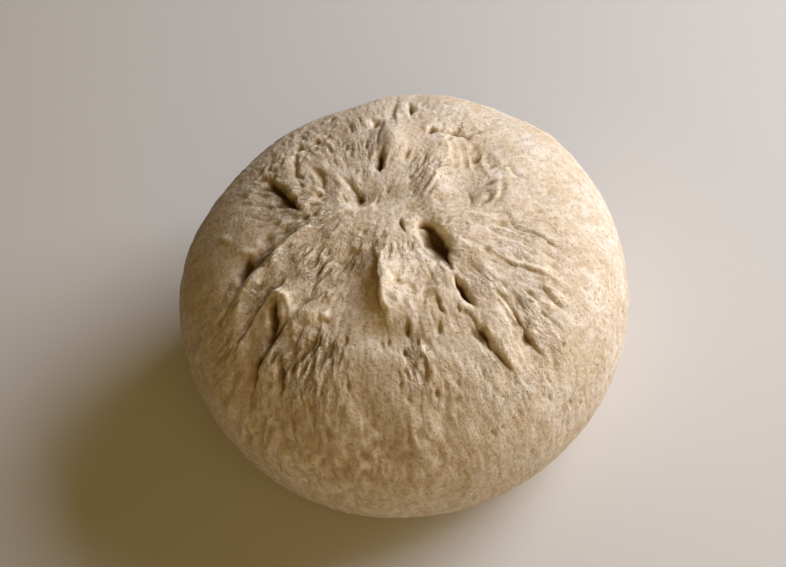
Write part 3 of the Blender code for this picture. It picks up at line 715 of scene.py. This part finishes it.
def makeMesh(name, points, quads, base):
    # the quads and, last, the base as one flat polygon
    mesh = bpy.data.meshes.new(name)
    mesh.vertices.add(len(points))
    mesh.vertices.foreach_set("co", points.astype(np.float32).ravel())
    mesh.loops.add(quads.size + len(base))
    mesh.loops.foreach_set("vertex_index", np.concatenate([quads.ravel(), base]).astype(np.int32))
    mesh.polygons.add(len(quads) + 1)
    mesh.polygons.foreach_set("loop_start", np.arange(len(quads) + 1, dtype=np.int32) * 4)
    mesh.update(calc_edges=True)
    mesh.validate()
    mesh.shade_smooth()
    return mesh


# Dough: pale and dull, stained along the strands, with painted shade in valleys, cracks, bubbles and folds
# and a painted highlight on its ridges.
# Sizes are in mm; a Range says where its noise or mark starts to count and where it counts in full, and a
# Most how much then.
doughLook = {
    "light": (0.825, 0.72, 0.59),         # smooth skin
    "warm": (0.74, 0.60, 0.435),          # and its larger patches
    "mottleAndShade": (0.55, 0.40, 0.225),        # fine mottle, and painted shade in valleys, between fibres and in bubbles
    "stain": (0.55, 0.43, 0.285),         # stains drawn out along the strands
    "crack": (0.36, 0.22, 0.10),          # painted shade in the hair cracks of torn skin
    "crestHighlight": (0.95, 0.82, 0.62),          # painted highlight on edges and ridges
    "flour": (0.87, 0.79, 0.705),         # away from the gather
    "foldShade": (0.17, 0.09, 0.028),      # painted shade down in the folds
    "bran": (0.42, 0.27, 0.14),           # specks
    "roughness": 0.72,
    "specular": 0.3,
    "subsurface": 0.08,
    "subsurfaceRadius": (1.0, 0.6, 0.3),
    "subsurfaceReach": 0.002,           # m
    "blotchSize": 14.0, "blotchRange": (0.35, 0.68), "blotchMost": 1.0,
    "mottleSize": 3.4, "mottleRange": (0.42, 0.66), "mottleMost": 0.60,
    "fleckSize": 1.3, "fleckRange": (0.36, 0.52), "fleckMost": 0.5,
    "flourSize": 5.5, "flourRange": (0.52, 0.66), "flourMost": 0.45,
    "flourFar": (15.0, 55.0, 0.1),          # way from the seam, start and end, and the share before it
    "speckSize": 1.0, "speckRange": (0.66, 0.73), "speckMost": 0.85,
    "stainPitch": 3.4, "stainLength": 5.0, "stainReaches": (24.0, 48.0, 96.0),
    "stainRange": (0.46, 0.66), "stainMost": 0.42, "stainFar": (20.0, 60.0, 0.35),
    "fibrePitch": 0.9, "fibreLength": 3.0, "fibreReaches": (12.0, 24.0, 48.0, 96.0),
    "fibreRange": (0.30, 0.62), "fibreHeight": 0.32,
    "fibreValleyRange": (0.33, 0.50), "fibreValleyMost": 0.55,
    "crackMiddle": 0.46, "crackWidth": 0.028, "crackMost": 0.6, "crackHeight": 0.2,
    "tornRange": (0.15, 0.9), "tornLeast": 0.08, "tornFar": (4.0, 14.0, 0.2),
    "shreddedRange": (0.55, 1.15), "shreddedMost": 2.0,
    "valleyRange": (0.03, 0.60), "crestHighlightRange": (0.05, 0.55), "markMost": 0.85, "foldRange": (0.15, 0.75),
    "pitSpacing": 2.3, "pitBend": 2.6, "pitBendSize": 1.6, "pitRange": (0.10, 0.36),
    "pitMost": 0.7, "pitHeight": 0.3,
    "openSize": 7.0, "openRange": (0.52, 0.66), "openMost": 0.55,
    "crumpleRange": (0.15, 0.9), "crumplePatchSize": 4.0,
    "crumplePatchRange": (0.40, 0.60), "crumplePatchLeast": 0.1,
    "grainSize": 1.3, "grainHeight": 0.42,     # crumbly grain
    "dustSize": 0.5, "dustHeight": 0.09,       # and the finest grain on it
    "crumblyRange": (0.1, 1.1), "crumblyShares": (0.7, 1.9),
}


def doughMaterial():
    # one dull shader: colours laid over each other by noise and by the mesh's marks, and one fine bump
    look = doughLook
    material = bpy.data.materials.new("rawDough")
    material.use_nodes = True
    nodes, links = material.node_tree.nodes, material.node_tree.links
    place = nodes.new("ShaderNodeTexCoord").outputs["Object"]

    def feed(node, inputs):
        # plain values are set on the node's inputs, and other nodes' outputs are linked to them
        for socket, value in inputs.items():
            if isinstance(value, bpy.types.NodeSocket):
                links.new(value, node.inputs[socket])
            else:
                node.inputs[socket].default_value = value

    def mark(name, output="Fac"):
        node = nodes.new("ShaderNodeAttribute")
        node.attribute_name = name
        return node.outputs[output]

    def noiseNode(vector, scale, detail, rough=0.55, output="Fac"):
        node = nodes.new("ShaderNodeTexNoise")
        feed(node, {"Vector": vector, "Scale": scale, "Detail": detail, "Roughness": rough})
        return node.outputs[output]

    def ramp(value, low, high, start=0.0, end=1.0):
        node = nodes.new("ShaderNodeMapRange")
        node.interpolation_type = "SMOOTHSTEP"
        feed(node, {"Value": value, "From Min": low, "From Max": high, "To Min": start, "To Max": end})
        return node.outputs["Result"]

    def patches(name, detail, rough=0.55):
        # noise of the named size, from 0 to its most over its range
        found = noiseNode(place, 1 / (look[name + "Size"] * mm), detail, rough)
        return ramp(found, *look[name + "Range"], 0.0, look[name + "Most"])

    def mathNode(kind, *values):
        # the values joined from left to right
        total = values[0]
        for value in values[1:]:
            node = nodes.new("ShaderNodeMath")
            node.operation = kind
            feed(node, {0: total, 1: value})
            total = node.outputs[0]
        return total

    def vectorNode(kind, *values):
        node = nodes.new("ShaderNodeVectorMath")
        node.operation = kind
        feed(node, dict(enumerate(values)))
        return node.outputs[0]

    def mixNode(kind, amount, first, second):
        node = nodes.new("ShaderNodeMix")
        node.data_type = kind
        low, high, out = {"RGBA": (6, 7, 2), "FLOAT": (2, 3, 0)}[kind]
        feed(node, {"Factor": amount, low: first, high: second})
        return node.outputs[out]

    flow = mark("strandFlow", "Vector")
    parts = nodes.new("ShaderNodeSeparateXYZ")
    feed(parts, {0: flow})
    far = parts.outputs["Z"]

    def alongFlow(name):
        # noise on the circle of bearings, drawn out along the way from the seam; a wider circle takes over
        # further out
        pitch, length = look[name + "Pitch"], look[name + "Length"]
        mixed = None
        for reach in look[name + "Reaches"]:
            spread = vectorNode("MULTIPLY", flow, (reach / pitch, reach / pitch, 1 / length))
            layer = noiseNode(spread, 1.0, 3.0, 0.6)
            mixed = layer if mixed is None else mixNode("FLOAT", ramp(far, reach * 0.5, reach), mixed, layer)
        return mixed

    def outwards(name):
        # grows with the way from the seam, from its share to 1
        start, end, share = look[name + "Far"]
        return ramp(far, start, end, share, 1.0)

    fibre = alongFlow("fibre")
    tornSkin = mark("tornSkin")
    torn = mathNode("MULTIPLY", ramp(tornSkin, *look["tornRange"], look["tornLeast"], 1.0), outwards("torn"))
    # darker in the low grooves between fibres of torn skin: partly painted shade, partly the damper strands'
    # own colour
    fibreValley = mathNode("MULTIPLY", ramp(fibre, *look["fibreValleyRange"], 1.0, 0.0), torn)
    # hair cracks along the fibres' middle value: sunk in the bump, and darkened as painted shade in the
    # colour
    crack = mathNode("ABSOLUTE", mathNode("SUBTRACT", fibre, look["crackMiddle"]), 0.0)
    crack = mathNode("MULTIPLY", ramp(crack, 0.0, look["crackWidth"], 1.0, 0.0), torn)

    # small open bubbles: round pits about the cells' middles, many in crumpled skin, few and in patches
    # elsewhere; sunk in the bump, and with painted shade in them in the colour
    jitter = noiseNode(place, 1 / (look["pitBendSize"] * mm), 2.0, 0.5, "Color")
    bent = vectorNode("MULTIPLY_ADD", jitter, (look["pitBend"] * mm,) * 3, place)
    cells = nodes.new("ShaderNodeTexVoronoi")
    feed(cells, {"Vector": bent, "Scale": 1 / (look["pitSpacing"] * mm)})
    crumplePatch = noiseNode(place, 1 / (look["crumplePatchSize"] * mm), 2.0)
    crumplePatch = ramp(crumplePatch, *look["crumplePatchRange"], look["crumplePatchLeast"], 1.0)
    crumpled = mathNode("MULTIPLY", ramp(mark("crumpled"), *look["crumpleRange"]), crumplePatch)
    openness = mathNode("MAXIMUM", crumpled, patches("open", 2.0))
    pit = mathNode("MULTIPLY", ramp(cells.outputs["Distance"], *look["pitRange"], 1.0, 0.0), openness)

    stained = ramp(alongFlow("stain"), *look["stainRange"], 0.0, look["stainMost"])
    fleck = noiseNode(place, 1 / (look["fleckSize"] * mm), 3.0, 0.6)
    layers = [
        (patches("blotch", 3.0), "warm"),
        (patches("mottle", 4.0, 0.65), "mottleAndShade"),
        (mathNode("MULTIPLY", stained, outwards("stain")), "stain"),
        (ramp(fleck, *look["fleckRange"], look["fleckMost"], 0.0), "mottleAndShade"),
        (mathNode("MULTIPLY", patches("flour", 5.0, 0.7), outwards("flour")), "flour"),
        # partly painted shade between the fibres, partly the strands' own darker colour
        (mathNode("MULTIPLY", fibreValley, look["fibreValleyMost"]), "mottleAndShade"),
        # painted shade in the open bubbles
        (mathNode("MULTIPLY", pit, look["pitMost"]), "mottleAndShade"),
        # painted shade in the hair cracks
        (mathNode("MULTIPLY", crack, look["crackMost"]), "crack"),
        # painted shade in valleys
        (ramp(mark("valley"), *look["valleyRange"], 0.0, look["markMost"]), "mottleAndShade"),
        # painted highlight on crests and edges
        (ramp(mark("crestHighlight"), *look["crestHighlightRange"], 0.0, look["markMost"]), "crestHighlight"),
        # painted shade down in the folds
        (ramp(mark("foldDepth"), *look["foldRange"]), "foldShade"),
        (patches("speck", 1.0, 0.4), "bran"),
    ]
    colour = (*look["light"], 1.0)
    for amount, tone in layers:
        colour = mixNode("RGBA", amount, colour, (*look[tone], 1.0))

    def grains(name):
        found = noiseNode(place, 1 / (look[name + "Size"] * mm), 2.0)
        return mathNode("MULTIPLY", found, look[name + "Height"])

    crumbly = ramp(tornSkin, *look["crumblyRange"], *look["crumblyShares"])
    coarse = mathNode("MULTIPLY", mathNode("ADD", grains("grain"), grains("dust")), crumbly)
    coarse = mathNode("ADD", coarse, mathNode("MULTIPLY", pit, -look["pitHeight"]))
    shredded = ramp(tornSkin, *look["shreddedRange"], 1.0, look["shreddedMost"])
    fibres = mathNode("MULTIPLY", ramp(fibre, *look["fibreRange"]), torn, look["fibreHeight"], shredded)
    fibres = mathNode("ADD", fibres, mathNode("MULTIPLY", crack, -look["crackHeight"]))
    bump = nodes.new("ShaderNodeBump")
    feed(bump, {"Strength": 1.0, "Distance": mm, "Height": mathNode("ADD", coarse, fibres)})
    feed(nodes["Principled BSDF"], {
        "Base Color": colour, "Roughness": look["roughness"], "Specular IOR Level": look["specular"],
        "Subsurface Weight": look["subsurface"], "Subsurface Radius": look["subsurfaceRadius"],
        "Subsurface Scale": look["subsurfaceReach"], "Normal": bump.outputs["Normal"],
    })
    return material


def makeDough():
    # the skin fitted to the CAD box, with its marks as attributes and its one material
    points, quads, base, marks = skinSurface()
    low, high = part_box("dough")
    points = fitBox(points, low, high)
    mesh = makeMesh("doughSkin", points, quads, base)
    for name, values in marks.items():
        vector = values.ndim == 2
        layer = mesh.attributes.new(name, "FLOAT_VECTOR" if vector else "FLOAT", "POINT")
        layer.data.foreach_set("vector" if vector else "value", values.astype(np.float32).ravel())
    mesh.materials.append(doughMaterial())
    dough = bpy.data.objects.new("doughSkin", mesh)
    bpy.context.scene.collection.objects.link(dough)
    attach(dough, "root")
    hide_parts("dough")
    print("dough skin:", len(mesh.polygons), "faces")


makeDough()


# Floor, light and camera
stageLook = {
    "floorSize": 6.0,
    "floorColour": (0.71, 0.695, 0.665),
    "floorRoughness": 0.6,
    "keyBearing": 11.0,       # degrees from +X towards +Y
    "keyHeight": 27.0,
    "keyDistance": 1.1,
    "keySize": 0.85,
    "keyPower": 16.8,
    "keyColour": (0.985, 1.0, 1.10),
    "fillBearing": -84.0,
    "fillHeight": 38.0,
    "fillDistance": 1.3,
    "fillSize": 1.0,
    "fillPower": 3.5,
    "fillColour": (1.0, 0.73, 0.33),
    "worldStrength": 0.090,
    "worldColour": (1.0, 0.63, 0.15),
}
cameraView = {
    "distance": 0.520,        # m from the middle of the dough
    "middleHeight": 0.044,
    "elevation": 54.0,        # degrees
    "roll": -15.0,
    "lens": 70.0,             # mm
    "sensor": 36.0,
    "rightPixels": 10.0,      # the dough's middle lies this far right of and below the picture's middle
    "downPixels": 12.0,
    "pictureWidth": 786.0,
}


def makeStage():
    # a pale floor, a lamp at each bearing and height that faces the dough's middle, and a dim warm surround
    look = stageLook
    half = look["floorSize"] / 2
    mesh = bpy.data.meshes.new("floor")
    corners = [(-half, -half, 0), (half, -half, 0), (half, half, 0), (-half, half, 0)]
    mesh.from_pydata(corners, [], [(0, 1, 2, 3)])
    material = bpy.data.materials.new("paleFloor")
    material.use_nodes = True
    shader = material.node_tree.nodes["Principled BSDF"]
    shader.inputs["Base Color"].default_value = (*look["floorColour"], 1.0)
    shader.inputs["Roughness"].default_value = look["floorRoughness"]
    mesh.materials.append(material)
    floor = bpy.data.objects.new("floor", mesh)
    bpy.context.scene.collection.objects.link(floor)
    for name in ("key", "fill"):
        bearing, lift = math.radians(look[name + "Bearing"]), math.radians(look[name + "Height"])
        flat = math.cos(lift)
        way = Vector((math.cos(bearing) * flat, math.sin(bearing) * flat, math.sin(lift)))
        lamp = bpy.data.lights.new(name + "Lamp", "AREA")
        lamp.size, lamp.energy, lamp.color = look[name + "Size"], look[name + "Power"], look[name + "Colour"]
        light = bpy.data.objects.new(name + "Lamp", lamp)
        light.location = Vector((0, 0, cameraView["middleHeight"])) + way * look[name + "Distance"]
        light.rotation_euler = (-way).to_track_quat("-Z", "Y").to_euler()
        bpy.context.scene.collection.objects.link(light)
    world = bpy.data.worlds.new("studio")
    world.use_nodes = True
    world.node_tree.nodes["Background"].inputs["Color"].default_value = (*look["worldColour"], 1.0)
    world.node_tree.nodes["Background"].inputs["Strength"].default_value = look["worldStrength"]
    bpy.context.scene.world = world
    print("stage ready")


def makeCamera():
    # stands back from the middle along the elevation, rolled about its own axis
    c = cameraView
    lift = math.radians(c["elevation"])
    back = Vector((0.0, -math.cos(lift), math.sin(lift)))
    right = Vector((1.0, 0.0, 0.0))
    up = back.cross(right)
    turn = math.radians(c["roll"])
    rolledRight = right * math.cos(turn) + up * math.sin(turn)
    rolledUp = up * math.cos(turn) - right * math.sin(turn)
    lens = bpy.data.cameras.new("camera")
    lens.lens = c["lens"]
    lens.sensor_width = c["sensor"]
    lens.shift_x = -c["rightPixels"] / c["pictureWidth"]
    lens.shift_y = c["downPixels"] / c["pictureWidth"]
    camera = bpy.data.objects.new("camera", lens)
    pose = Matrix((rolledRight, rolledUp, back)).transposed().to_4x4()
    pose.translation = Vector((0, 0, c["middleHeight"])) + back * c["distance"]
    camera.matrix_world = pose
    bpy.context.scene.collection.objects.link(camera)
    bpy.context.scene.camera = camera
    bpy.context.scene.view_settings.view_transform = "Standard"
    print("camera ready")


makeStage()
makeCamera()
